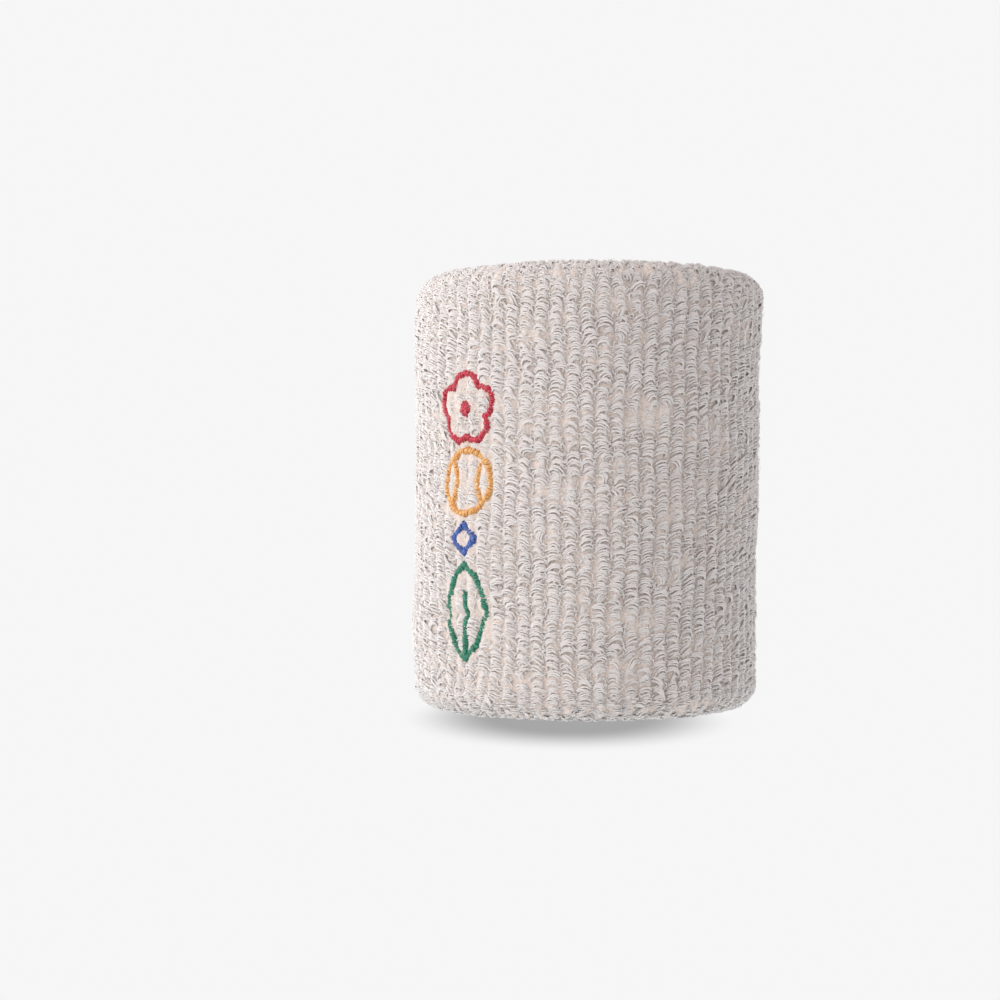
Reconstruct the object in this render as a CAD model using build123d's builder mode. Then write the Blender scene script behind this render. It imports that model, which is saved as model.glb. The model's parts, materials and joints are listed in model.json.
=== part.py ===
"""Sweat wristband: one knitted terry tube, folded in on itself and closed by a seam inside.

Units are millimetres. +Z runs up the band's axis, the origin is the centre of the
bottom rim's resting plane, and the embroidered motif faces -Y.
"""

import math
import os

from build123d import *

# Driving dimensions of the band
height = 76.0
outer_radius = 30.5
wall = 10.0
rim_radius = 4.4
pile_depth = 2.7
ground_thickness = 0.7
gap = 0.05

# Closing seam, half way up the inner face
seam_z = height / 2
seam_half_gap = 0.1
seam_mouth_radius = 1.0
seam_bend_radius = 0.45
allowance_height = 4.0
seam_thread_radius = 0.1
needle_line_z = seam_z + 1.6
needle_stitches = 36
needle_start_angle = 5.0
overlock_stitches = 60
overlock_arc = 357.0
overlock_bend = 0.2
overlock_edge_margin = 0.2

# Laid-in elastic yarn: square-cut rubber thread
elastic_side = 0.32
elastic_radius = elastic_side * math.sqrt(0.5)
elastic_pitch = 2.8
elastic_rim_margin = 8.0
elastic_seam_margin = 6.0

# Embroidery: depths and stroke widths
stroke = 1.1
stitch_sink = 0.3
stitch_depth = 0.7
bobbin_stroke = 0.8
bobbin_depth = 0.2
backing_depth = 0.25
backing_border = 3.0

# Embroidery: the four figures, from the top down
motif_top = 58.3
motif_gap = 0.6
petal_count = 5
petal_offset = 3.3
petal_radius = 3.2
flower_eye_radius = 1.3
ball_radius = 5.8
ball_seam_radius = 5.0
ball_seam_offset = 7.4
diamond_side = 4.9
diamond_corner = 0.8
leaf_height = 17.0
leaf_width = 9.6
leaf_rib_length = 11.0

# Radii of the layers, from the skin side out
inner_radius = outer_radius - wall
inner_ground_back = inner_radius + pile_depth + ground_thickness
outer_ground_back = outer_radius - pile_depth - ground_thickness
inner_elastic_line = inner_ground_back + gap + elastic_radius
outer_elastic_line = outer_ground_back - gap - elastic_radius
lower_looper_line = inner_ground_back + gap + seam_thread_radius
near_allowance_line = lower_looper_line + seam_thread_radius + gap + ground_thickness / 2
far_allowance_line = near_allowance_line + ground_thickness + gap
upper_looper_line = far_allowance_line + ground_thickness / 2 + gap + seam_thread_radius
bobbin_base = upper_looper_line + seam_thread_radius + gap
backing_base = bobbin_base + bobbin_depth + gap
stitch_top = outer_radius - stitch_sink
stitch_base = stitch_top - stitch_depth

# Heights of the figures' centres
petal_drop = petal_offset * math.cos(math.pi / petal_count) + petal_radius
diamond_half = diamond_side * math.sqrt(0.5) - diamond_corner * (math.sqrt(2) - 1)
flower_z = motif_top - petal_offset - petal_radius
ball_z = flower_z - petal_drop - motif_gap - ball_radius
diamond_z = ball_z - ball_radius - motif_gap - diamond_half
leaf_z = diamond_z - diamond_half - motif_gap - leaf_height / 2
motif_bottom = leaf_z - leaf_height / 2

os.makedirs("parts", exist_ok=True)


def save(piece, name):
    """Label a finished piece and write it as one node."""
    piece.part.label = name
    export_step(piece.part, f"parts/{name}.step")


def flower(width):
    """Five-petalled outline round a small eye, drawn with a stroke of this width."""
    outer_petal = petal_radius + (width - stroke) / 2
    with BuildSketch() as inside:
        with PolarLocations(petal_offset, petal_count, start_angle=90):
            Circle(outer_petal - width)
        Circle(petal_offset)
    with BuildSketch() as figure:
        with PolarLocations(petal_offset, petal_count, start_angle=90):
            Circle(outer_petal)
        add(inside.sketch, mode=Mode.SUBTRACT)
        Circle(flower_eye_radius + (width - stroke) / 2)
    return figure.sketch


def ball(width):
    """Ring with the two curved seam lines of a ball."""
    outer_ring = ball_radius + (width - stroke) / 2
    with BuildSketch() as seam_lines:
        with Locations((-ball_seam_offset, 0), (ball_seam_offset, 0)):
            Circle(ball_seam_radius + width / 2)
            Circle(ball_seam_radius - width / 2, mode=Mode.SUBTRACT)
        Circle(outer_ring, mode=Mode.INTERSECT)
    with BuildSketch() as figure:
        Circle(outer_ring)
        Circle(outer_ring - width, mode=Mode.SUBTRACT)
        add(seam_lines.sketch)
    return figure.sketch


def diamond(width):
    """Small square ring standing on its corner."""
    outer_side = diamond_side + width - stroke
    outer_corner = diamond_corner + (width - stroke) / 2
    with BuildSketch() as figure:
        RectangleRounded(outer_side, outer_side, outer_corner, rotation=45)
        Rectangle(outer_side - 2 * width, outer_side - 2 * width, rotation=45, mode=Mode.SUBTRACT)
    return figure.sketch


def lens(arc_radius, arc_offset):
    """Pointed oval between two arcs, standing on its tip."""
    with BuildSketch() as oval:
        with Locations((-arc_offset, 0)):
            Circle(arc_radius)
        with Locations((arc_offset, 0)):
            Circle(arc_radius, mode=Mode.INTERSECT)
    return oval.sketch


def leaf(width):
    """Pointed leaf outline with a midrib that rises from its lower tip."""
    edge_radius = ((leaf_height / 2) ** 2 + (leaf_width / 2) ** 2) / leaf_width
    edge_offset = edge_radius - leaf_width / 2
    outer_edge = edge_radius + (width - stroke) / 2
    rib_z = (leaf_rib_length - leaf_height + stroke) / 2
    with BuildSketch() as figure:
        add(lens(outer_edge, edge_offset))
        add(lens(outer_edge - width, edge_offset), mode=Mode.SUBTRACT)
        with Locations((0, rib_z)):
            SlotCenterToCenter(leaf_rib_length, width, rotation=90)
    return figure.sketch


def curved_figure(draw, centre_z, width, base, top):
    """One figure of the motif as a solid, curved round the band between two radii."""
    with BuildPart() as piece:
        with BuildSketch(Plane.XZ):
            with Locations((0, centre_z)):
                add(draw(width))
        extrude(amount=outer_radius + wall)
        Cylinder(top, 3 * height, mode=Mode.INTERSECT)
        Cylinder(base, 3 * height, mode=Mode.SUBTRACT)
    return piece


def looper_thread(line_radius):
    """Thread that zigzags round the seam, between the needle line and the raw edges."""
    low_z = needle_line_z + 4 * seam_thread_radius
    high_z = seam_z + allowance_height - overlock_edge_margin
    turns = 2 * overlock_stitches
    points = []
    for turn in range(turns + 1):
        angle = math.radians(overlock_arc * turn / turns)
        z = high_z if turn % 2 else low_z
        points.append((line_radius * math.cos(angle), line_radius * math.sin(angle), z))
    with BuildPart() as thread:
        with BuildLine() as path:
            FilletPolyline(*points, radius=overlock_bend)
        with BuildSketch(Plane(origin=path.wire() @ 0, z_dir=path.wire() % 0)):
            Circle(seam_thread_radius)
        sweep(transition=Transition.RIGHT)
    return thread


def elastic_helix(line_radius, bottom, top):
    """One run of elastic yarn, square in section, wound round the band between two heights."""
    with BuildPart() as yarn:
        with BuildLine(Plane.XY.offset(bottom)) as path:
            Helix(pitch=elastic_pitch, height=top - bottom, radius=line_radius)
        with BuildSketch(Plane(origin=path.line @ 0, z_dir=path.line % 0)):
            Rectangle(elastic_side, elastic_side)
        sweep()
    return yarn


motif = {
    "embroidery_red": (flower, flower_z),
    "embroidery_amber": (ball, ball_z),
    "embroidery_blue": (diamond, diamond_z),
    "embroidery_green": (leaf, leaf_z),
}

# Embroidered figures: satin stitches laid into the pile
for name, (draw, centre_z) in motif.items():
    save(curved_figure(draw, centre_z, stroke, stitch_base, stitch_top), name)

# Bobbin thread: the underside of the same figures, on the back of the backing
with BuildPart() as embroidery_bobbin_thread:
    for draw, centre_z in motif.values():
        add(
            curved_figure(
                draw, centre_z, bobbin_stroke, bobbin_base, bobbin_base + bobbin_depth
            ).part
        )
save(embroidery_bobbin_thread, "embroidery_bobbin_thread")

# Backing: thin patch that stabilises the knit behind the embroidery
motif_half_width = petal_offset + petal_radius
with BuildPart() as embroidery_backing:
    with BuildSketch(Plane.XZ):
        with Locations((0, (motif_top + motif_bottom) / 2)):
            RectangleRounded(
                2 * (motif_half_width + backing_border),
                motif_top - motif_bottom + 2 * backing_border,
                backing_border,
            )
    extrude(amount=outer_radius + wall)
    Cylinder(backing_base + backing_depth, 3 * height, mode=Mode.INTERSECT)
    Cylinder(backing_base, 3 * height, mode=Mode.SUBTRACT)
save(embroidery_backing, "embroidery_backing")

# Pile: the cotton loops of the whole tube, as one skin that opens only at the seam
channels = [
    curved_figure(draw, centre_z, stroke + 2 * gap, stitch_base - gap, outer_radius + wall)
    for draw, centre_z in motif.values()
]
with BuildPart() as terry_pile:
    with BuildSketch(Plane.XZ) as pile_section:
        with Locations((outer_radius - wall / 2, height / 2)):
            RectangleRounded(wall, height, rim_radius)
            RectangleRounded(
                wall - 2 * pile_depth,
                height - 2 * pile_depth,
                rim_radius - pile_depth,
                mode=Mode.SUBTRACT,
            )
        with Locations((inner_radius, seam_z)):
            Rectangle(3 * pile_depth, 2 * seam_half_gap, mode=Mode.SUBTRACT)
        mouth_corners = pile_section.vertices().sort_by_distance((inner_radius, seam_z))[:2]
        fillet(mouth_corners, seam_mouth_radius)
    revolve(axis=Axis.Z)
    for channel in channels:
        add(channel.part, mode=Mode.SUBTRACT)
save(terry_pile, "terry_pile")

# Ground: the thin knit that carries the pile, with both raw edges turned up inside the seam
inner_line = inner_radius + pile_depth + ground_thickness / 2
outer_line = outer_radius - pile_depth - ground_thickness / 2
bottom_line = pile_depth + ground_thickness / 2
top_line = height - bottom_line
fold_radius = rim_radius - bottom_line
seam_step = seam_half_gap + ground_thickness / 2
edge_z = seam_z + allowance_height
with BuildPart() as knit_ground:
    with BuildSketch(Plane.XZ):
        with BuildLine():
            FilletPolyline(
                (far_allowance_line, edge_z),
                (far_allowance_line, seam_z - seam_step),
                (inner_line, seam_z - seam_step),
                (inner_line, bottom_line),
                (outer_line, bottom_line),
                (outer_line, top_line),
                (inner_line, top_line),
                (inner_line, seam_z + seam_step),
                (near_allowance_line, seam_z + seam_step),
                (near_allowance_line, edge_z),
                radius=[seam_bend_radius] * 2 + [fold_radius] * 4 + [seam_bend_radius] * 2,
            )
        trace(line_width=ground_thickness)
    revolve(axis=Axis.Z)
    with Locations(Plane.XY.offset(needle_line_z)):
        with PolarLocations(
            near_allowance_line + ground_thickness / 2, needle_stitches, needle_start_angle
        ):
            Cylinder(
                seam_thread_radius + gap,
                2 * ground_thickness + 4 * gap,
                rotation=(0, 90, 0),
                mode=Mode.SUBTRACT,
            )
save(knit_ground, "knit_ground")

# Needle thread: a line of stitches along the seam, each going down through both allowances
needle_reach = upper_looper_line - lower_looper_line
with BuildPart() as seam_needle_thread:
    with Locations((0, 0, needle_line_z)):
        Torus(upper_looper_line, seam_thread_radius)
        with PolarLocations(
            upper_looper_line - needle_reach / 2, needle_stitches, needle_start_angle
        ):
            Cylinder(seam_thread_radius, needle_reach, rotation=(0, 90, 0))
save(seam_needle_thread, "seam_needle_thread")

# Looper threads: zigzags over the raw edges, one on each side of the allowances
seam_upper_looper_thread = looper_thread(upper_looper_line)
save(seam_upper_looper_thread, "seam_upper_looper_thread")
seam_lower_looper_thread = looper_thread(lower_looper_line)
save(seam_lower_looper_thread, "seam_lower_looper_thread")

# Elastic yarn: one run in the outer wall, and one on each side of the seam in the inner wall
top_run_z = height - elastic_rim_margin
elastic_runs = [
    elastic_helix(outer_elastic_line, elastic_rim_margin, top_run_z),
    elastic_helix(inner_elastic_line, elastic_rim_margin, seam_z - elastic_seam_margin),
    elastic_helix(inner_elastic_line, seam_z + elastic_seam_margin, top_run_z),
]
with BuildPart() as elastic_yarn:
    for run in elastic_runs:
        add(run.part)
save(elastic_yarn, "elastic_yarn")
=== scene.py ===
"""Looks of a terry sweat wristband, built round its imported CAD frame.

The pile is made of separate yarn loops. Each loop leans along the knitting direction and lies
in a wale, and a wale runs up the outside, over the top rim, down the inside and back under the
bottom rim. Lengths are metres, in the frame of the CAD model.
"""

import json
import math

import bpy
import numpy as np
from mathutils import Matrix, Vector


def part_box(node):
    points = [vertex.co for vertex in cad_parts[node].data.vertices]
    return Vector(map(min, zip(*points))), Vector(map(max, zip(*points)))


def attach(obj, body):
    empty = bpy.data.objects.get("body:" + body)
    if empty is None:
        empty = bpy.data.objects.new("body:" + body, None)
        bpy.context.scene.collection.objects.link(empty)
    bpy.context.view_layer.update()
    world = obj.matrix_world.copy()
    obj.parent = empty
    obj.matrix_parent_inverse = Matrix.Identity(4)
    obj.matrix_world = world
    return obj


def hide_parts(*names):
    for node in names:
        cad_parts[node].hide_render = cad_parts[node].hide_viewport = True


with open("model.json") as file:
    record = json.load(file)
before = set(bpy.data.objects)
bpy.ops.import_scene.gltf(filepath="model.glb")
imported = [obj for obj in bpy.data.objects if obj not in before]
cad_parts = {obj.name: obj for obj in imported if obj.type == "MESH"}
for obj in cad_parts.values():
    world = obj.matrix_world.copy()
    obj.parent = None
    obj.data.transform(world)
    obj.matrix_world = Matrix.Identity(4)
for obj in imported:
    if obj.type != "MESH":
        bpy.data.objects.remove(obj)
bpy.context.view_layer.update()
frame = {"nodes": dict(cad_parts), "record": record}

MM = 0.001
TAU = 2 * math.pi

# The band's main sizes, from the frame
pile_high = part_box("terry_pile")[1]
ground_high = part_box("knit_ground")[1]
mounts = {mount["name"]: mount for mount in frame["record"]["mounts"]}
opening = mounts["wrist_opening"]["dims"]
HEIGHT = pile_high.z
OUTER = pile_high.x
INNER = opening["r_mm"] * MM
RIM = (HEIGHT - opening["length_mm"] * MM) / 2
PILE_DEPTH = OUTER - ground_high.x

# The knit. The pile is built as sectors, each of a few wales
WALES = 72
WALE_PITCH = TAU * OUTER / WALES
ROW_PITCH = 1.14 * MM
SECTORS = 18


def band_profile():
    """Closed outline of the pile's surface: arc length, radius, height and normal angle."""
    corners = (
        (OUTER - RIM, HEIGHT - RIM, 0.0),
        (INNER + RIM, HEIGHT - RIM, 0.5 * math.pi),
        (INNER + RIM, RIM, math.pi),
        (OUTER - RIM, RIM, 1.5 * math.pi),
    )
    radius, height, angle = [OUTER], [RIM], [0.0]
    for centre_r, centre_z, start in corners:
        for turn in np.linspace(start, start + 0.5 * math.pi, 25):
            radius.append(centre_r + RIM * math.cos(turn))
            height.append(centre_z + RIM * math.sin(turn))
            angle.append(turn)
    radius, height, angle = np.array(radius), np.array(height), np.array(angle)
    steps = np.hypot(np.diff(radius), np.diff(height))
    return np.concatenate(([0.0], np.cumsum(steps))), radius, height, angle


PROFILE_S, PROFILE_R, PROFILE_Z, PROFILE_ANGLE = band_profile()
PROFILE_LENGTH = PROFILE_S[-1]
WALL_LENGTH = HEIGHT - 2 * RIM
FOLD_LENGTH = (PROFILE_LENGTH - 2 * WALL_LENGTH) / 2
SEAM_S = WALL_LENGTH + FOLD_LENGTH + WALL_LENGTH / 2
WALL_ROWS = round(WALL_LENGTH / ROW_PITCH)
FOLD_ROWS = round(FOLD_LENGTH / (0.5 * ROW_PITCH))
ROWS = 2 * (WALL_ROWS + FOLD_ROWS)


def row_places():
    """Arc length of every row of loops.

    Rows stand closer together on the rims, where the crowns fan out.
    """
    wall = (np.arange(WALL_ROWS) + 0.5) / WALL_ROWS * WALL_LENGTH
    fold = WALL_LENGTH + (np.arange(FOLD_ROWS) + 0.5) / FOLD_ROWS * FOLD_LENGTH
    half = np.concatenate((wall, fold))
    return np.concatenate((half, half + PROFILE_LENGTH / 2))


def waves(seed, count, most_round, most_along):
    """A smooth random field over the band, about -1 to 1, as a function of angle and arc length."""
    rng = np.random.default_rng(seed)
    round_turns = rng.integers(-most_round, most_round + 1, count)
    along_turns = rng.integers(0, most_along + 1, count)
    phases = rng.uniform(0, TAU, count)
    scale = 1.6 / math.sqrt(count)

    def field(phi, s):
        total = 0.0
        for turns, along, phase in zip(round_turns, along_turns, phases):
            total = total + np.sin(turns * phi + along * TAU * s / PROFILE_LENGTH + phase)
        return total * scale

    return field


# Soft unevenness of the band as it stands: it leans and widens a little, and has creases
LEAN = 0.55 * MM
FLARE = 0.009
LEAN_WAY = math.radians(45)
bulges = waves(11, 14, 5, 9)
CREASES = (
    # centre angle and half width in degrees, height, thickness and depth in mm, slope
    (-84, 32, 17.5, 0.9, 0.75, 0.02),
    (-35, 11, 32.0, 0.9, 0.40, -0.03),
    (-68, 16, 43.5, 0.9, 0.60, 0.04),
    (20, 22, 27.0, 1.1, 0.35, -0.04),
    (120, 28, 22.0, 1.0, 0.40, 0.03),
    (165, 24, 50.0, 1.1, 0.35, -0.03),
    (250, 20, 36.0, 1.0, 0.30, 0.04),
)
BULGE = 0.22 * MM
DENTS = (
    # angle and half width in degrees, height, half height and depth in mm
    (-27, 3.2, 25.0, 6.5, 1.0),
    (-30, 2.8, 44.0, 6.0, 0.35),
    (-58, 3.0, 57.0, 5.0, 0.35),
    (70, 3.5, 40.0, 7.0, 0.5),
    (200, 3.5, 30.0, 6.0, 0.6),
)


def angle_from(phi, degrees):
    """Signed angle from a direction, in degrees."""
    return (np.degrees(phi) - degrees + 180) % 360 - 180


def settle(points):
    """Moves points of the ideal band to where they are on the soft, slightly uneven one."""
    x, y, z = points[..., 0], points[..., 1], points[..., 2]
    radius = np.hypot(x, y)
    phi = np.arctan2(y, x)
    level = 2 * z / HEIGHT - 1
    grown = radius * (1 + FLARE * level) + BULGE * bulges(phi, z)
    z_mm = z / MM
    on_outside = np.clip((radius - 0.5 * (INNER + OUTER)) / (2 * MM), 0, 1)
    for degrees, half_width, height, thick, depth, slope in CREASES:
        away = angle_from(phi, degrees)
        across = (z_mm - height - slope * away) / thick
        grown = grown - on_outside * depth * MM * np.exp(-(across**2) - (away / half_width) ** 4)
    for degrees, half_width, height, half_height, depth in DENTS:
        away = angle_from(phi, degrees) / half_width
        along = (z_mm - height) / half_height
        grown = grown - on_outside * depth * MM * np.exp(-(away**2) - along**2)
    lean = LEAN * level
    moved = np.empty(points.shape)
    moved[..., 0] = grown * np.cos(phi) + lean * math.cos(LEAN_WAY)
    moved[..., 1] = grown * np.sin(phi) + lean * math.sin(LEAN_WAY)
    moved[..., 2] = z
    return moved


def on_band(phi, s, depth):
    """Points at an angle and an arc length, at a depth under the pile's surface."""
    s = np.mod(s, PROFILE_LENGTH)
    tilt = np.interp(s, PROFILE_S, PROFILE_ANGLE)
    radius = np.interp(s, PROFILE_S, PROFILE_R) - depth * np.cos(tilt)
    height = np.interp(s, PROFILE_S, PROFILE_Z) - depth * np.sin(tilt)
    return np.stack((radius * np.cos(phi), radius * np.sin(phi), height), axis=-1)


def unit(vectors):
    """Vectors scaled to length one."""
    return vectors / np.maximum(np.linalg.norm(vectors, axis=-1, keepdims=True), 1e-12)


def tubes(paths, radii, sides=4, reference=None):
    """Closed tubes round n paths of k points: points, quads, and quad corner places.

    A corner's place is its tube's number, its share of the length and its share of a turn.
    """
    count, steps = paths.shape[:2]
    tangents = unit(np.gradient(paths, axis=1))
    if reference is None:
        chord = paths[:, -1] - paths[:, 0]
        rise = paths[:, steps // 2] - paths[:, 0]
        reference = np.cross(chord, rise)
    side = unit(np.cross(tangents, unit(reference)[:, None, :]))
    up = np.cross(side, tangents)
    other = np.cross(tangents, up)
    turns = TAU * (np.arange(sides) + 0.5) / sides
    ring = (
        np.cos(turns)[:, None] * up[:, :, None, :] + np.sin(turns)[:, None] * other[:, :, None, :]
    )
    points = (paths[:, :, None, :] + radii[:, :, None, None] * ring).reshape(-1, 3)

    quads, along, around = [], [], []
    for step in range(steps - 1):
        for turn in range(sides):
            here, there = step * sides, (step + 1) * sides
            following = (turn + 1) % sides
            quads.append((here + turn, here + following, there + following, there + turn))
            along.append((step, step, step + 1, step + 1))
            around.append((turn, turn + 1, turn + 1, turn))
    # Both ends are closed with fans of quads
    last = (steps - 1) * sides
    for fan in range(1, sides // 2):
        corners = (0, 2 * fan - 1, 2 * fan, 2 * fan + 1)
        quads.append(tuple(reversed(corners)))
        along.append((0, 0, 0, 0))
        around.append(tuple(reversed(corners)))
        quads.append(tuple(last + corner for corner in corners))
        along.append((steps - 1,) * 4)
        around.append(corners)
    quads = np.array(quads)
    starts = np.arange(count)[:, None, None] * (steps * sides)
    all_quads = (quads[None] + starts).reshape(-1, 4)
    shape = (count,) + quads.shape
    number = np.broadcast_to(np.arange(count)[:, None, None], shape)
    length_share = np.broadcast_to(np.array(along)[None] / (steps - 1), shape)
    turn_share = np.broadcast_to(np.array(around)[None] / sides, shape)
    return points, all_quads, np.stack((number, length_share, turn_share), -1).reshape(-1, 3)


def joined(parts):
    """One set of points, quads and corner places from several sets of tubes."""
    points, quads, places = [], [], []
    first_point, first_tube = 0, 0
    for part_points, part_quads, part_places in parts:
        points.append(part_points)
        quads.append(part_quads + first_point)
        places.append(part_places + np.array((first_tube, 0, 0)))
        first_point += len(part_points)
        first_tube += int(part_places[:, 0].max()) + 1
    return np.concatenate(points), np.concatenate(quads), np.concatenate(places)


ATLAS_COLUMNS = 32


def atlas(places):
    """UV coordinates that give each tube its own cell of a sheet."""
    number = places[:, 0]
    rows = max(1, math.ceil((number.max() + 1) / ATLAS_COLUMNS))
    u = (number % ATLAS_COLUMNS + places[:, 1]) / ATLAS_COLUMNS
    v = (number // ATLAS_COLUMNS + places[:, 2]) / rows
    return np.stack((u, v), -1)


BAKE_MAP = "OFBake"


def outward_from_band(points):
    """The band's own outward direction at each point."""
    radius = np.hypot(points[:, 0], points[:, 1])
    sideways = (radius - 0.5 * (INNER + OUTER)) / np.maximum(radius, 1e-9)
    upward = points[:, 2] - np.clip(points[:, 2], RIM, HEIGHT - RIM)
    return unit(np.stack((points[:, 0] * sideways, points[:, 1] * sideways, upward), -1))


def soften_normals(mesh, share):
    """Turns the shading normals part way to the band's own, as fuzz on a strand does."""
    points = np.empty(len(mesh.vertices) * 3, dtype=np.float32)
    mesh.vertices.foreach_get("co", points)
    normals = np.empty(len(mesh.vertices) * 3, dtype=np.float32)
    mesh.vertex_normals.foreach_get("vector", normals)
    outward = outward_from_band(points.reshape(-1, 3))
    softened = unit((1 - share) * normals.reshape(-1, 3) + share * outward)
    mesh.normals_split_custom_set_from_vertices(softened)


def piece_from(name, points, quads, material, stands_for, uvs, values, soft=0.0):
    """A smooth mesh piece on the band's only body. values are named numbers, one per point."""
    mesh = bpy.data.meshes.new(name)
    mesh.vertices.add(len(points))
    mesh.vertices.foreach_set("co", np.ascontiguousarray(points, dtype=np.float32).ravel())
    mesh.loops.add(quads.size)
    mesh.loops.foreach_set("vertex_index", np.ascontiguousarray(quads, dtype=np.int32).ravel())
    mesh.polygons.add(len(quads))
    mesh.polygons.foreach_set("loop_start", np.arange(0, quads.size, 4, dtype=np.int32))
    mesh.update(calc_edges=True)
    mesh.shade_smooth()
    layer = mesh.uv_layers.new(name=BAKE_MAP)
    layer.uv.foreach_set("vector", uvs.astype(np.float32).ravel())
    for key, numbers in values.items():
        attribute = mesh.attributes.new(key, "FLOAT", "POINT")
        attribute.data.foreach_set("value", np.ascontiguousarray(numbers, dtype=np.float32))
    mesh.materials.append(material)
    if soft:
        soften_normals(mesh, soft)
    piece = bpy.data.objects.new(name, mesh)
    bpy.context.scene.collection.objects.link(piece)
    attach(piece, "root")
    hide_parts(stands_for)
    return piece


# ---------------------------------------------------------------- materials


class Nodes:
    """A material's node tree, with short calls for the nodes used here."""

    def __init__(self, name):
        self.material = bpy.data.materials.new(name)
        self.material.use_nodes = True
        self.tree = self.material.node_tree
        self.shader = self.tree.nodes["Principled BSDF"]

    def set(self, socket, value):
        """Links a node's output to one of the shader's inputs, or sets its value."""
        target = self.shader.inputs[socket]
        if hasattr(value, "is_output"):
            self.tree.links.new(value, target)
        else:
            target.default_value = value

    def add(self, kind, inputs, output=0, **settings):
        """Adds a node, links or sets its inputs, and returns one output."""
        node = self.tree.nodes.new(kind)
        for key, value in settings.items():
            setattr(node, key, value)
        for key, value in inputs.items():
            if hasattr(value, "is_output"):
                self.tree.links.new(value, node.inputs[key])
            else:
                node.inputs[key].default_value = value
        return node.outputs[output]

    def math(self, operation, a, b=0.0):
        return self.add("ShaderNodeMath", {0: a, 1: b}, operation=operation)

    def value(self, name):
        return self.add("ShaderNodeAttribute", {}, output="Fac", attribute_name=name)

    def place(self):
        return self.add("ShaderNodeTexCoord", {}, output="Object")

    def noise(self, scale, detail=2.0):
        vector = self.place()
        return self.add("ShaderNodeTexNoise", {"Vector": vector, "Scale": scale, "Detail": detail})

    def mix(self, share, a, b):
        node = self.tree.nodes.new("ShaderNodeMix")
        node.data_type = "RGBA"
        for socket, value in ((0, share), (6, a), (7, b)):
            if hasattr(value, "is_output"):
                self.tree.links.new(value, node.inputs[socket])
            else:
                node.inputs[socket].default_value = value
        return node.outputs[2]

    def span(self, value, low, high, to_low=0.0, to_high=1.0):
        inputs = {"Value": value, 1: low, 2: high, 3: to_low, 4: to_high}
        return self.add("ShaderNodeMapRange", inputs)

    def bump(self, height, strength, distance):
        inputs = {"Height": height, "Strength": strength, "Distance": distance}
        self.set("Normal", self.add("ShaderNodeBump", inputs))


def rgb(red, green, blue):
    return (red, green, blue, 1.0)


# The pile yarn's colours. Roots and crowns run from a darker strand to a lighter one. The roots'
# colour is painted shade, darker and warmer than the crowns, for the shade deep between the loops;
# the specks' colour is painted shade between the fibres
YARN_ROOT_SHADE = (rgb(0.75, 0.635, 0.565), rgb(0.84, 0.745, 0.685))
YARN_CROWN = (rgb(0.81, 0.77, 0.75), rgb(0.88, 0.845, 0.83))
YARN_PATCH = rgb(0.86, 0.76, 0.68)
YARN_FIBRE_SHADE = rgb(0.50, 0.43, 0.38)


def terry_yarn(name, fibre_scale, relief, fibre_shade):
    """Cream cotton pile yarn, with painted shade at its roots: darker and warmer there.

    Dark specks are painted shade between the fibres, mixed in by the last argument's share; the
    fibres show as relief where relief isn't 0.
    """
    n = Nodes(name)
    height = n.value("pile_height")
    tint = n.value("strand_tint")
    # Painted shade: low on a loop the colour runs to the darker, warmer root colour
    root = n.mix(tint, *YARN_ROOT_SHADE)
    crown = n.mix(tint, *YARN_CROWN)
    depth = n.span(height, 0.35, 0.95)
    colour = n.mix(depth, root, crown)
    patches = n.span(n.noise(90.0, 3.0), 0.42, 0.62)
    warmer = n.mix(0.4, colour, YARN_PATCH)
    colour = n.mix(n.math("MULTIPLY", patches, 0.35), colour, warmer)
    # Painted shade between the fibres, as dark specks
    specks = n.span(n.noise(fibre_scale, 4.0), 0.38, 0.62, 0.0, fibre_shade)
    n.set("Base Color", n.mix(specks, colour, YARN_FIBRE_SHADE))
    n.set("Roughness", 0.88)
    n.set("Specular IOR Level", 0.12)
    n.set("Sheen Weight", 0.30)
    n.set("Sheen Roughness", 0.45)
    n.set("Sheen Tint", rgb(0.97, 0.99, 1.0))
    n.set("Subsurface Weight", 0.5)
    n.set("Subsurface Radius", (1.0, 1.0, 1.0))
    n.set("Subsurface Scale", 0.4 * MM)
    if relief:
        n.bump(n.noise(fibre_scale, 3.0), 0.5, relief)
    return n.material


def embroidery_thread(name, dark, light):
    """Shiny filament thread in one dye colour."""
    n = Nodes(name)
    tint = n.value("strand_tint")
    fibres = n.span(n.noise(2600.0, 2.0), 0.35, 0.65)
    shade = n.math("MULTIPLY", n.math("ADD", tint, fibres), 0.5)
    n.set("Base Color", n.mix(shade, dark, light))
    n.set("Roughness", n.span(n.noise(1500.0), 0.3, 0.7, 0.22, 0.40))
    n.set("Specular IOR Level", 0.85)
    n.set("Sheen Weight", 0.25)
    n.set("Sheen Roughness", 0.35)
    n.set("Sheen Tint", light)
    n.bump(n.noise(6000.0, 2.0), 0.35, 0.03 * MM)
    return n.material


def plain_textile(name, dark, light, scale, relief):
    """Matt textile: uneven colour and a fine fibrous surface."""
    n = Nodes(name)
    n.set("Base Color", n.mix(n.span(n.noise(scale, 4.0), 0.35, 0.65), dark, light))
    n.set("Roughness", n.span(n.noise(scale * 2), 0.3, 0.7, 0.75, 0.95))
    n.set("Sheen Weight", 0.3)
    n.bump(n.noise(scale * 4, 3.0), 0.6, relief)
    return n.material


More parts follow.
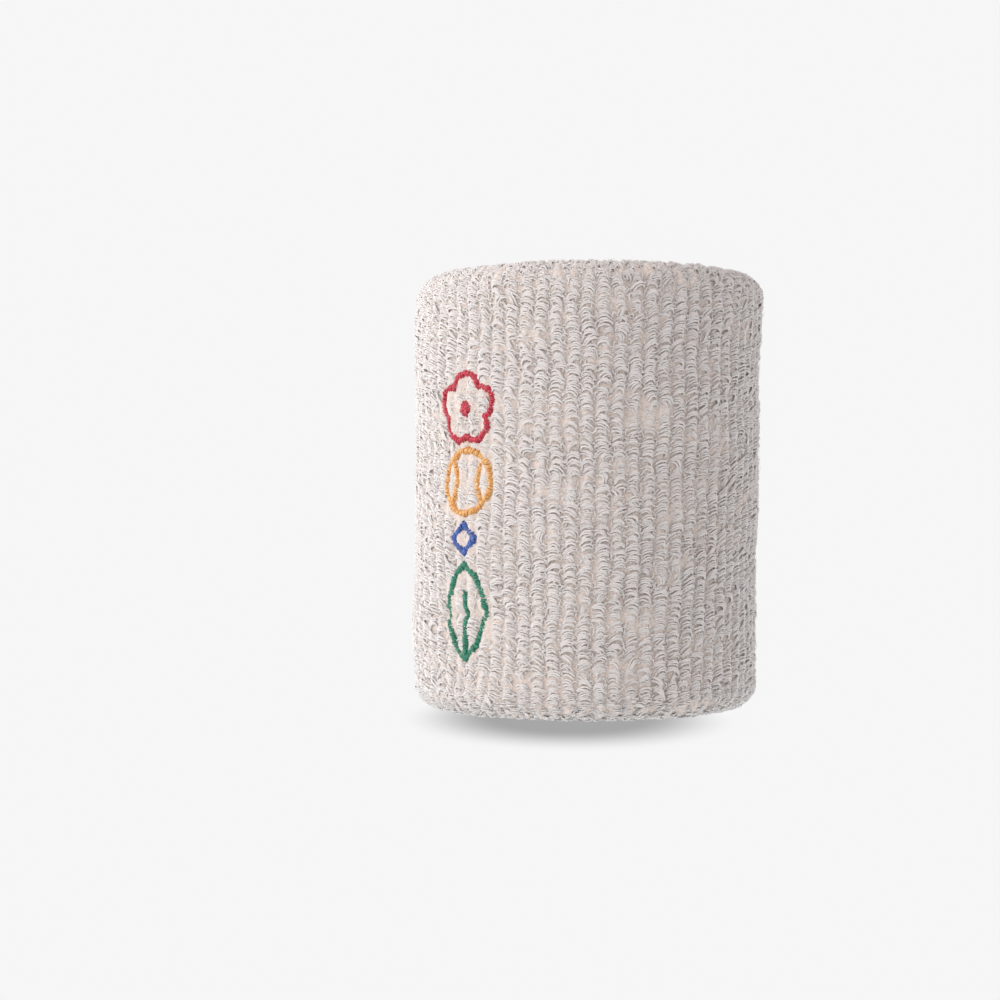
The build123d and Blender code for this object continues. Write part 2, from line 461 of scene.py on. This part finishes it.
def knit_fabric():
    """Cream jersey: wales round the band and courses up it, with painted shade in the knit's
    hollows.
    """
    n = Nodes("ground_knit")
    split = n.tree.nodes.new("ShaderNodeSeparateXYZ")
    n.tree.links.new(n.place(), split.inputs[0])
    x, y, z = split.outputs
    turn = n.math("ARCTAN2", y, x)
    wale = n.math("SINE", n.math("MULTIPLY", turn, float(WALES * 2)))
    course = n.math("SINE", n.math("MULTIPLY", z, TAU / (ROW_PITCH / 2)))
    knit = n.math("MULTIPLY", n.math("ADD", wale, course), 0.5)
    # Painted shade: the colour is darker where the knit's relief is low
    shade = n.span(n.math("ADD", knit, n.noise(700.0, 2.0)), -0.6, 1.6)
    n.set("Base Color", n.mix(shade, rgb(0.66, 0.54, 0.44), rgb(0.80, 0.70, 0.61)))
    n.set("Roughness", n.span(n.noise(900.0), 0.3, 0.7, 0.8, 0.97))
    n.set("Sheen Weight", 0.3)
    n.bump(knit, 0.7, 0.12 * MM)
    return n.material


# ---------------------------------------------------------------- embroidery

STROKE = 1.1 * MM
STITCH_PITCH = 0.27 * MM
THREAD = 0.14 * MM
UNDERLAY_THREAD = 0.28 * MM
UNDERLAY_DEPTH = 0.55 * MM
STITCH_SURFACE = OUTER - 0.22 * MM
# The flower's eye, and how far its petals' centres lie from it, as a share of its width
FLOWER_EYE = 0.65 * MM
PETAL_OFFSET = 0.2603
# Loops nearer than this to a line of the motif, in mm, lie under its stitches
MOTIF_COVER = 0.45


def arc(centre, radius, start, stop):
    """Points along a circular arc, angles in degrees."""
    count = max(8, int(abs(stop - start) / 360 * TAU * radius / (0.05 * MM)))
    turns = np.radians(np.linspace(start, stop, count))
    return np.stack((centre[0] + radius * np.cos(turns), centre[1] + radius * np.sin(turns)), -1)


def line(start, stop):
    """Points along a straight line."""
    share = np.linspace(0, 1, 60)[:, None]
    return np.array(start) * (1 - share) + np.array(stop) * share


def node_middle(node):
    """Centre height, width and height of a CAD node that faces -Y."""
    low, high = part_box(node)
    return (low.z + high.z) / 2, high.x - low.x, high.z - low.z


def flower_lines():
    """Five petals round an eye, from the red node's box."""
    low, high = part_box("embroidery_red")
    offset = PETAL_OFFSET * (high.x - low.x)
    petal = (high.x - low.x) / 2 - offset * math.sin(TAU / 5) - STROKE / 2
    centre_z = high.z - STROKE / 2 - petal - offset
    meet_out = offset * math.cos(TAU / 10) + math.sqrt(
        petal**2 - (offset * math.sin(TAU / 10)) ** 2
    )
    spread = math.degrees(
        math.atan2(
            meet_out * math.sin(TAU / 10), meet_out * math.cos(TAU / 10) - offset
        )
    )
    lines = []
    for turn in range(5):
        way = 90 + 72 * turn
        centre = (
            offset * math.cos(math.radians(way)),
            centre_z + offset * math.sin(math.radians(way)),
        )
        lines.append(arc(centre, petal, way - spread, way + spread))
    return lines, [arc((0, centre_z), FLOWER_EYE, 0, 360)]


def ball_lines():
    """A ring with two seam arcs, from the amber node's box."""
    centre_z, width, _ = node_middle("embroidery_amber")
    ring = (width - STROKE) / 2
    seam, offset = 0.95 * ring, 1.41 * ring
    reach = (offset**2 + seam**2 - ring**2) / (2 * offset * seam)
    spread = math.degrees(math.acos(reach))
    lines = [arc((0, centre_z), ring, 90, 450)]
    lines.append(arc((-offset, centre_z), seam, -spread, spread))
    lines.append(arc((offset, centre_z), seam, 180 - spread, 180 + spread))
    return lines, []


def diamond_lines():
    """A small square ring on its corner, from the blue node's box."""
    centre_z, _, height = node_middle("embroidery_blue")
    reach = height / 2 - 0.62 * STROKE
    tips = [(0, centre_z + reach), (-reach, centre_z), (0, centre_z - reach), (reach, centre_z)]
    return [line(tips[i], tips[(i + 1) % 4]) for i in range(4)], []


def leaf_lines():
    """A pointed leaf with a midrib, from the green node's box."""
    centre_z, width, height = node_middle("embroidery_green")
    edge = ((height / 2) ** 2 + (width / 2) ** 2) / width
    offset = edge - width / 2
    stroke_line = edge - STROKE / 2
    spread = math.degrees(math.acos(offset / stroke_line))
    bottom = centre_z - stroke_line * math.sin(math.radians(spread))
    lines = [arc((-offset, centre_z), stroke_line, -spread, spread)]
    lines.append(arc((offset, centre_z), stroke_line, 180 - spread, 180 + spread))
    lines.append(line((0, bottom), (0, bottom + 0.66 * height)))
    return lines, []


MOTIF = {
    "embroidery_red": flower_lines(),
    "embroidery_amber": ball_lines(),
    "embroidery_blue": diamond_lines(),
    "embroidery_green": leaf_lines(),
}
MOTIF_POINTS = np.concatenate([path for lines, dots in MOTIF.values() for path in lines + dots])


def motif_distance(u, z):
    """Distance from places on the front to the nearest line of the motif."""
    nearest = np.full(u.shape, 1.0)
    front = np.abs(u) < 9 * MM
    places = np.stack((u[front], z[front]), -1)
    best = np.full(len(places), 1.0)
    for chunk in np.array_split(MOTIF_POINTS, 60):
        gaps = np.linalg.norm(places[:, None] - chunk[None], axis=-1)
        best = np.minimum(best, gaps.min(axis=1))
    nearest[front] = best
    return nearest


def on_front(u, z, radius):
    """Points on the band's -Y side, from their place across it, height and radius."""
    return np.stack((u, -np.sqrt(radius**2 - u**2), z), axis=-1)


def along_line(path, pitch):
    """Evenly spaced places along a line, with the line's direction at each."""
    lengths = np.concatenate(([0.0], np.cumsum(np.linalg.norm(np.diff(path, axis=0), axis=1))))
    count = max(2, round(lengths[-1] / pitch) + 1)
    stops = np.linspace(0, lengths[-1], count)
    places = np.stack([np.interp(stops, lengths, path[:, i]) for i in (0, 1)], -1)
    return places, unit(np.gradient(places, axis=0))


def satin_stitches(path, width, rng):
    """Thread paths that cross a line side by side, domed over it."""
    places, ways = along_line(path, STITCH_PITCH)
    across = np.stack((-ways[:, 1], ways[:, 0]), -1)
    count = len(places)
    reach = np.linspace(-1, 1, 9)[None, :, None]
    half = (width / 2) * (1 + 0.13 * rng.standard_normal(count))[:, None, None]
    slant = 0.18 * MM + 0.06 * MM * rng.standard_normal(count)[:, None, None]
    shift = 0.06 * MM * rng.standard_normal((count, 1, 2))
    flat = places[:, None] + shift + reach * (half * across[:, None] + slant * ways[:, None])
    sink = (0.30 * reach**2 + 0.55 * np.abs(reach) ** 5)[..., 0] * MM
    sink = sink + 0.05 * MM * rng.standard_normal(count)[:, None]
    return on_front(flat[..., 0], flat[..., 1], STITCH_SURFACE - sink)


def underlay(path):
    """Two running threads under the satin stitches of a line."""
    places, ways = along_line(path, 0.4 * MM)
    across = np.stack((-ways[:, 1], ways[:, 0]), -1)
    runs = []
    for side in (-0.2 * MM, 0.2 * MM):
        flat = places + side * across
        runs.append(on_front(flat[:, 0], flat[:, 1], STITCH_SURFACE - UNDERLAY_DEPTH))
    return runs


def embroider(node, colours, seed):
    """One colour of the motif: satin stitches over their underlay."""
    rng = np.random.default_rng(seed)
    lines, dots = MOTIF[node]
    stitches = [satin_stitches(path, STROKE, rng) for path in lines]
    stitches += [satin_stitches(path, 1.5 * STROKE, rng) for path in dots]
    stitches = settle(np.concatenate(stitches))
    thickness = THREAD * (1 + 0.06 * rng.standard_normal((len(stitches), 1)))
    parts = [tubes(stitches, np.broadcast_to(thickness, stitches.shape[:2]), sides=6)]
    for path in lines + dots:
        for run in underlay(path):
            run = settle(run)[None]
            radii = np.full(run.shape[:2], UNDERLAY_THREAD)
            parts.append(tubes(run, radii, sides=6, reference=run[:, 0]))
    tints = []
    for part_points, _, part_places in parts:
        tube_count = int(part_places[:, 0].max()) + 1
        tints.append(np.repeat(rng.uniform(0, 1, tube_count), len(part_points) // tube_count))
    points, quads, places = joined(parts)
    name = node.replace("embroidery", "satin_stitches")
    thread = embroidery_thread(node + "_thread", *colours)
    values = {"strand_tint": np.concatenate(tints)}
    piece_from(name, points, quads, thread, node, atlas(places), values)


# ---------------------------------------------------------------- pile

disorder_field = waves(21, 26, 16, 40)
wander_field = waves(22, 22, 10, 26)
wiggle_field = waves(23, 30, 30, 70)
hook_field = waves(24, 22, 9, 20)
length_field = waves(25, 26, 14, 34)
slip_field = waves(26, 16, 24, 8)


STRAND_SPACING = 0.30 * MM


def wale_wander(phi, s):
    """How far a wale strays aside, as a share of the wale pitch."""
    return 0.05 * wander_field(phi, s) + 0.025 * wiggle_field(phi, s)


def rim_share(s):
    """How far an arc length is into a rim: 0 on both walls, 1 over each fold."""
    half_way = np.abs(np.mod(s - WALL_LENGTH, PROFILE_LENGTH / 2) - FOLD_LENGTH / 2)
    return np.clip((FOLD_LENGTH / 2 - half_way) / (2.5 * MM), 0, 1)


def pile_loops(rng):
    """Every loop of the pile, as arrays of places, sizes, leans and turns."""
    wale, row = np.meshgrid(np.arange(WALES), np.arange(ROWS), indexing="ij")
    wale, row = wale.ravel(), row.ravel()
    count = wale.size
    phi = (wale + 0.5) / WALES * TAU
    s = row_places()[row] + rng.uniform(0, 1, WALES)[wale] * ROW_PITCH
    s = s + 0.3 * ROW_PITCH * slip_field(phi, s)
    outside = (s < WALL_LENGTH + FOLD_LENGTH) | (s > PROFILE_LENGTH - FOLD_LENGTH)
    rim = rim_share(s)
    mess = np.clip(0.42 + 0.8 * disorder_field(phi, s), 0, 1) ** 2
    mess = np.clip(mess + 0.5 * rim, 0, 1)

    def spread(calm, wild):
        return (calm + (wild - calm) * mess) * rng.standard_normal(count)

    loops = {
        "wale": wale,
        "outside": outside,
        "phi": phi
        + wale_wander(phi, s) * WALE_PITCH / OUTER
        + spread(0.05, 0.15) * MM / OUTER
        + rim * rng.uniform(-0.5, 0.5, count) * WALE_PITCH / OUTER,
        "s": s + spread(0.10, 0.25) * MM,
        "half_width": (1.10 + 0.05 * length_field(phi, s) + spread(0.07, 0.14))
        * (1 - 0.3 * rim)
        * MM,
        "height": 1.03 + 0.012 * length_field(phi, s) + spread(0.018, 0.035),
        "lean": (1.85 + 0.15 * hook_field(phi, s) + spread(0.15, 0.30)) * MM,
        "turn": 0.05 * hook_field(phi, s) + spread(0.10, 0.40),
        "hook": 0.08 * hook_field(phi + 1.0, s) + spread(0.10, 0.28),
    }
    seam_gap = np.abs(s - SEAM_S) / MM
    loops["height"] = loops["height"] * np.clip(0.45 + 0.4 * seam_gap, 0.45, 1)
    return loops


def flatten_near_motif(loops):
    """Shortens the loops beside the motif's lines, and says which loops aren't under them."""
    crown = on_band(loops["phi"], loops["s"], 0.0)
    faces_front = (crown[:, 1] < 0) & loops["outside"]
    gap = np.full(len(crown), 1.0)
    gap[faces_front] = motif_distance(crown[faces_front, 0], crown[faces_front, 2])
    gap_mm = gap / MM
    keep = gap_mm > MOTIF_COVER
    squash = np.clip(0.72 + 0.22 * (gap_mm - MOTIF_COVER), 0, 1)
    loops["height"] = loops["height"] * np.minimum(1, squash)
    return keep


def loop_turn(steps):
    """Angles along a loop, from one foot over its crown to the other foot."""
    return np.linspace(0.02 * math.pi, 0.98 * math.pi, steps)[None]


def strand_paths(loops, chosen, order, steps, rng):
    """Centre lines of one strand of the chosen loops, with the strand's height at each point."""
    count = len(chosen)

    def pick(name):
        return loops[name][chosen][:, None]

    def jitter(amount):
        return amount * rng.standard_normal((count, 1))

    theta = loop_turn(steps)
    half_width = pick("half_width") * (1 - 0.05 * abs(order)) * (1 + jitter(0.07))
    # The feet stand closer together than the loop is wide
    x = -half_width * np.cos(theta) * (0.62 + 0.55 * np.sin(theta)) / 0.78
    rise = np.sin(theta) ** 0.8
    lean = pick("lean") * (1 + jitter(0.06))
    ahead = lean * (rise**1.35 - 1) + order * STRAND_SPACING + jitter(0.07 * MM)
    ahead = ahead + (pick("hook") + jitter(0.06)) * x
    x = x + jitter(0.04 * MM)
    turn = pick("turn") + jitter(0.06)
    across = x * np.cos(turn) - ahead * np.sin(turn)
    along = x * np.sin(turn) + ahead * np.cos(turn)
    height = pick("height") * (1 - 0.022 * abs(order)) * (1 + jitter(0.010))
    depth = PILE_DEPTH * (1.10 - height * rise * 1.10)
    phi = pick("phi") + across / OUTER
    paths = on_band(phi, pick("s") + along, depth)
    return settle(paths), np.broadcast_to(rise * height, depth.shape)


def filler_paths(loops, chosen, centre, steps, rng):
    """Short stray loops, one a share of a wale aside from each chosen loop, pointing any way."""
    count = len(chosen)
    theta = loop_turn(steps)
    half_width = (0.50 + 0.14 * rng.standard_normal((count, 1))) * MM
    rise = np.sin(theta) ** 0.8
    x = -half_width * np.cos(theta)
    ahead = (1.1 + 0.4 * rng.standard_normal((count, 1))) * MM * (rise - 1)
    turn = 0.8 * rng.standard_normal((count, 1))
    across = x * np.cos(turn) - ahead * np.sin(turn) + centre * WALE_PITCH
    across = across + 0.25 * MM * rng.standard_normal((count, 1))
    along = x * np.sin(turn) + ahead * np.cos(turn) + 0.3 * MM * rng.standard_normal((count, 1))
    top = 0.93 + 0.05 * rng.standard_normal((count, 1))
    top = top * np.minimum(1, loops["height"][chosen][:, None])
    depth = PILE_DEPTH * (1.05 - 1.05 * top * rise)
    phi = loops["phi"][chosen][:, None] + across / OUTER
    paths = on_band(phi, loops["s"][chosen][:, None] + along, depth)
    return settle(paths), np.broadcast_to(top * rise, depth.shape)


STRAND_FUZZ = 0.72
STRAND_SIDES = 4
STRANDS = (
    # path, on the outside or not, the strands' orders or places, steps along one, radius
    (strand_paths, True, (-1, 0, 1), 8, 0.15 * MM),
    (strand_paths, False, (-1, 1), 6, 0.19 * MM),
    (filler_paths, True, (0.5, 0.05, 0.28), 5, 0.15 * MM),
)


def build_sector(sector, loops, keep, material, rng):
    """One sector's loops and the stray loops between them, as one piece."""
    in_sector = (loops["wale"] // (WALES // SECTORS) == sector) & keep
    parts, heights, tints = [], [], []
    for paths_of, outside, orders, steps, radius in STRANDS:
        chosen = np.flatnonzero(in_sector & (loops["outside"] == outside))
        loop_tint = rng.uniform(0, 1, len(chosen))
        for order in orders:
            paths, height = paths_of(loops, chosen, order, steps, rng)
            thick = radius * (1 + 0.10 * rng.standard_normal((len(chosen), 1)))
            thick = thick * (1 - 0.22 * rim_share(loops["s"][chosen])[:, None])
            parts.append(tubes(paths, thick * (0.85 + 0.15 * np.minimum(1, height)), STRAND_SIDES))
            heights.append(np.repeat(height.ravel(), STRAND_SIDES))
            tint = np.clip(0.6 * loop_tint + 0.4 * rng.uniform(0, 1, len(chosen)), 0, 1)
            tints.append(np.repeat(tint, steps * STRAND_SIDES))
    points, quads, places = joined(parts)
    name = f"terry_loops_{sector + 1:02d}"
    # pile_height also sets how much painted root shade the yarn shows
    values = {"pile_height": np.concatenate(heights), "strand_tint": np.concatenate(tints)}
    uvs = atlas(places)
    piece_from(name, points, quads, material, "terry_pile", uvs, values, STRAND_FUZZ)


def build_pile(material):
    """The pile as one piece per sector of wales."""
    rng = np.random.default_rng(7)
    loops = pile_loops(rng)
    keep = flatten_near_motif(loops)
    for sector in range(SECTORS):
        build_sector(sector, loops, keep, material, rng)


def build_arches(name, material, seed, count, lengths, tops, foot, radius, pile_height):
    """Short lone fibres or strands, each a shallow arch that points any way over the band.

    lengths, and the depths that tops gives under the pile's surface, are ranges in mm. An arch
    starts and ends at the depth foot.
    """
    rng = np.random.default_rng(seed)
    share = np.linspace(0, 1, 5)[None]
    phi = rng.uniform(0, TAU, (count, 1))
    s = rng.uniform(0, PROFILE_LENGTH, (count, 1))
    way = rng.uniform(0, TAU, (count, 1))
    length = rng.uniform(*lengths, (count, 1)) * MM
    curl = rng.uniform(-0.3, 0.3, (count, 1)) * length
    top = rng.uniform(*tops, (count, 1)) * MM
    ahead = length * (share - 0.5)
    aside = curl * (2 * share - 1) ** 2
    across = ahead * np.cos(way) - aside * np.sin(way)
    along = ahead * np.sin(way) + aside * np.cos(way)
    depth = foot - (foot - top) * (1 - (2 * share - 1) ** 2)
    paths = settle(on_band(phi + across / OUTER, s + along, depth))
    crown = paths[:, 2]
    covered = (crown[:, 1] < 0) & (motif_distance(crown[:, 0], crown[:, 2]) < 1.2 * MM)
    paths = paths[~covered]
    points, quads, places = tubes(paths, np.full(paths.shape[:2], radius))
    tint = np.repeat(rng.uniform(0, 1, len(paths)), points.shape[0] // len(paths))
    # pile_height sets how much painted root shade these fibres show
    values = {"pile_height": np.full(len(points), pile_height), "strand_tint": tint}
    uvs = atlas(places)
    piece_from(name, points, quads, material, "terry_pile", uvs, values, STRAND_FUZZ)


ROOT_TURNS = WALES * 6
ROOT_STEPS = 210


def build_roots(material):
    """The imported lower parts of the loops, as one closed ribbed sheet round the ground knit."""
    turns, steps = ROOT_TURNS, ROOT_STEPS
    phi = (np.arange(turns) / turns * TAU)[:, None]
    s = (np.arange(steps) / steps * PROFILE_LENGTH)[None]
    rib = np.cos(WALES * phi - TAU * wale_wander(phi, s) + math.pi)
    depth = (0.56 - 0.22 * rib - 0.22 * rim_share(s) + 0.05 * length_field(phi, s)) * MM
    points = settle(on_band(phi + 0 * depth, s + 0 * depth, depth)).reshape(-1, 3)
    turn, step = (grid.ravel() for grid in np.meshgrid(range(turns), range(steps), indexing="ij"))
    turn_ahead, step_ahead = (turn + 1) % turns, (step + 1) % steps
    corners = ((turn, step), (turn_ahead, step), (turn_ahead, step_ahead), (turn, step_ahead))
    quads = np.stack([at * steps + along for at, along in corners], -1)
    u = np.stack((turn, turn + 1, turn + 1, turn), -1) / turns
    v = np.stack((step, step, step + 1, step + 1), -1) / steps
    tint = np.random.default_rng(9).uniform(0.3, 0.7, len(points))
    # At half height the sheet shows mostly the yarn's painted root shade
    values = {"pile_height": np.full(len(points), 0.5), "strand_tint": tint}
    uvs = np.stack((u.ravel(), v.ravel()), -1)
    piece_from("terry_roots", points, quads, material, "terry_pile", uvs, values)


# ---------------------------------------------------------------- the piece list

# The packed sheet's yarn shows more painted fibre shade than the loops' yarn
build_roots(terry_yarn("packed_terry_yarn", 2100.0, 0.5 * MM, 0.42))
pile_yarn = terry_yarn("terry_yarn", 4200.0, 0.0, 0.20)
build_pile(pile_yarn)
for number in (1, 2):
    build_arches(
        f"pile_loose_fibres_{number}",
        pile_yarn,
        seed=60 + number,
        count=4000,
        lengths=(1.2, 3.2),
        tops=(-0.4, 0.1),
        foot=0.35 * MM,
        radius=0.022 * MM,
        pile_height=1.0,
    )
    build_arches(
        f"pile_stray_strands_{number}",
        pile_yarn,
        seed=70 + number,
        count=5400,
        lengths=(0.9, 1.7),
        tops=(0.12, 0.36),
        foot=0.80 * MM,
        radius=0.11 * MM,
        pile_height=0.8,
    )
THREADS = {
    "embroidery_red": (rgb(0.36, 0.004, 0.020), rgb(0.74, 0.045, 0.095)),
    "embroidery_amber": (rgb(0.60, 0.21, 0.025), rgb(0.98, 0.64, 0.24)),
    "embroidery_blue": (rgb(0.012, 0.038, 0.24), rgb(0.075, 0.19, 0.58)),
    "embroidery_green": (rgb(0.003, 0.10, 0.055), rgb(0.035, 0.35, 0.22)),
}
for seed, (node, colours) in enumerate(THREADS.items()):
    embroider(node, colours, 40 + seed)

CREAM = (rgb(0.62, 0.56, 0.48), rgb(0.84, 0.79, 0.71))
WHITE = (rgb(0.70, 0.70, 0.69), rgb(0.90, 0.90, 0.89))
RUBBER = (rgb(0.60, 0.57, 0.52), rgb(0.86, 0.84, 0.80))
PATCH = (rgb(0.74, 0.74, 0.72), rgb(0.93, 0.93, 0.91))
cream_thread = plain_textile("seam_thread", *CREAM, 1500, 0.04 * MM)
white_thread = plain_textile("bobbin_thread", *WHITE, 1500, 0.04 * MM)
elastic = plain_textile("elastic_rubber", *RUBBER, 1100, 0.05 * MM)
non_woven = plain_textile("non_woven", *PATCH, 600, 0.08 * MM)
CAD_FINISHES = {
    "knit_ground": knit_fabric(),
    "elastic_yarn": elastic,
    "seam_needle_thread": cream_thread,
    "seam_upper_looper_thread": cream_thread,
    "seam_lower_looper_thread": cream_thread,
    "embroidery_bobbin_thread": white_thread,
    "embroidery_backing": non_woven,
}
for node, material in CAD_FINISHES.items():
    for slot in frame["nodes"][node].material_slots:
        slot.link = "OBJECT"
        slot.material = material

# ---------------------------------------------------------------- floor, light and camera

BACKDROP = 0.922
LIGHT_FROM_BEHIND = rgb(0.70, 0.665, 0.655)
LIGHT_FROM_FRONT = rgb(0.64, 0.60, 0.605)
VIEW_AZIMUTH = math.radians(45)
CAMERA_DISTANCE = 0.345
CAMERA_HEIGHT = 0.48 * HEIGHT
CAMERA_OFFSET = 15.4 * MM
LENS = 69.5
SENSOR = 36.0
# From the band's axis towards the camera, and to the camera's right
away = Vector((math.sin(VIEW_AZIMUTH), -math.cos(VIEW_AZIMUTH), 0))
rightwards = Vector((math.cos(VIEW_AZIMUTH), math.sin(VIEW_AZIMUTH), 0))


def backdrop():
    """A world that the camera sees as flat pale grey, and that lights the band softly."""
    world = bpy.data.worlds.new("studio")
    bpy.context.scene.world = world
    world.use_nodes = True
    tree = world.node_tree
    shown = tree.nodes["Background"]
    shown.inputs["Color"].default_value = rgb(BACKDROP, BACKDROP, BACKDROP)
    lighting = tree.nodes.new("ShaderNodeBackground")
    direction = tree.nodes.new("ShaderNodeTexCoord")
    facing = tree.nodes.new("ShaderNodeVectorMath")
    facing.operation = "DOT_PRODUCT"
    facing.inputs[1].default_value = away - Vector((0, 0, 0.8))
    ramp = tree.nodes.new("ShaderNodeValToRGB")
    ramp.color_ramp.elements[0].color = LIGHT_FROM_BEHIND
    ramp.color_ramp.elements[1].color = LIGHT_FROM_FRONT
    spread_out = tree.nodes.new("ShaderNodeMapRange")
    spread_out.inputs[1].default_value = -1.0
    tree.links.new(direction.outputs["Generated"], facing.inputs[0])
    tree.links.new(facing.outputs["Value"], spread_out.inputs["Value"])
    tree.links.new(spread_out.outputs[0], ramp.inputs[0])
    tree.links.new(ramp.outputs[0], lighting.inputs["Color"])
    path = tree.nodes.new("ShaderNodeLightPath")
    mix = tree.nodes.new("ShaderNodeMixShader")
    tree.links.new(path.outputs["Is Camera Ray"], mix.inputs[0])
    tree.links.new(lighting.outputs[0], mix.inputs[1])
    tree.links.new(shown.outputs[0], mix.inputs[2])
    tree.links.new(mix.outputs[0], tree.nodes["World Output"].inputs[0])


def soft_light(name, place, size, power, colour):
    """A square area light that faces the band's middle.

    place is how far it stands towards the camera, to the camera's right and up, in metres.
    """
    position = away * place[0] + rightwards * place[1] + Vector((0, 0, place[2]))
    lamp = bpy.data.lights.new(name, "AREA")
    lamp.size = size
    lamp.energy = power
    lamp.color = colour
    holder = bpy.data.objects.new(name, lamp)
    holder.location = position
    aim = Vector((0, 0, HEIGHT / 2)) - position
    holder.rotation_euler = aim.to_track_quat("-Z", "Y").to_euler()
    bpy.context.scene.collection.objects.link(holder)


# The painted soft oval shadow that the camera sees on the floor: its middle and its two radii
SHADOW_AHEAD = 20 * MM
SHADOW_LEFT = 4 * MM
SHADOW_REACH = 44 * MM
SHADOW_HALF_WIDTH = 27 * MM
SHADOW_LEVEL = 0.42 * BACKDROP


def pale_floor():
    """A pale floor that glows as bright as the backdrop, with a painted soft shadow round and
    before the band.
    """
    bpy.ops.mesh.primitive_circle_add(vertices=96, radius=0.5, fill_type="NGON")
    floor = bpy.context.object
    floor.name = "floor"
    material = bpy.data.materials.new("pale_floor")
    material.use_nodes = True
    tree = material.node_tree
    tree.nodes.remove(tree.nodes["Principled BSDF"])

    def step(kind, inputs, **settings):
        node = tree.nodes.new(kind)
        for key, value in settings.items():
            setattr(node, key, value)
        for key, value in inputs.items():
            if hasattr(value, "is_output"):
                tree.links.new(value, node.inputs[key])
            else:
                node.inputs[key].default_value = value
        return node

    place = step("ShaderNodeNewGeometry", {}).outputs["Position"]
    middle = away * SHADOW_AHEAD - rightwards * SHADOW_LEFT
    place = step("ShaderNodeVectorMath", {0: place, 1: middle}, operation="SUBTRACT").outputs[0]

    def share_along(direction):
        """A place's distance from the shadow's middle along one of its two radii."""
        node = step("ShaderNodeVectorMath", {0: place, 1: direction}, operation="DOT_PRODUCT")
        return node.outputs["Value"]

    ahead = share_along(away / SHADOW_REACH)
    aside = share_along(rightwards / SHADOW_HALF_WIDTH)
    oval = step("ShaderNodeCombineXYZ", {0: ahead, 1: aside})
    reach = step("ShaderNodeVectorMath", {0: oval.outputs[0]}, operation="LENGTH").outputs["Value"]
    edge = {"Value": reach, 1: 0.45, 2: 1.05, 3: 1.0, 4: 0.0}
    shadow = step("ShaderNodeMapRange", edge, interpolation_type="SMOOTHSTEP").outputs[0]
    for_camera = step("ShaderNodeLightPath", {}).outputs["Is Camera Ray"]
    shadow = step("ShaderNodeMath", {0: shadow, 1: for_camera}, operation="MULTIPLY").outputs[0]
    level_inputs = {"Value": shadow, 3: BACKDROP, 4: SHADOW_LEVEL}
    level = step("ShaderNodeMapRange", level_inputs).outputs[0]
    glow = step("ShaderNodeEmission", {"Strength": level})
    tree.links.new(glow.outputs[0], tree.nodes["Material Output"].inputs[0])
    floor.data.materials.append(material)


def photo_camera():
    """A level camera at the viewing angle, with the band right of its centre."""
    data = bpy.data.cameras.new("camera")
    data.lens = LENS
    data.sensor_width = SENSOR
    data.clip_start = 0.01
    holder = bpy.data.objects.new("camera", data)
    holder.location = away * CAMERA_DISTANCE - rightwards * CAMERA_OFFSET
    holder.location.z = CAMERA_HEIGHT
    holder.rotation_euler = (math.pi / 2, 0, VIEW_AZIMUTH)
    bpy.context.scene.collection.objects.link(holder)
    bpy.context.scene.camera = holder


backdrop()
pale_floor()
soft_light("key", (0.35, -0.6, 0.20), 0.9, 4.8, (1.0, 0.968, 0.962))
soft_light("fill", (0.3, 0.7, 0.25), 0.6, 0.15, (0.90, 0.94, 1.0))
soft_light("back", (-0.5, -0.4, 0.35), 0.8, 2.9, (1.0, 0.97, 0.96))
photo_camera()
bpy.context.scene.view_settings.view_transform = "Standard"
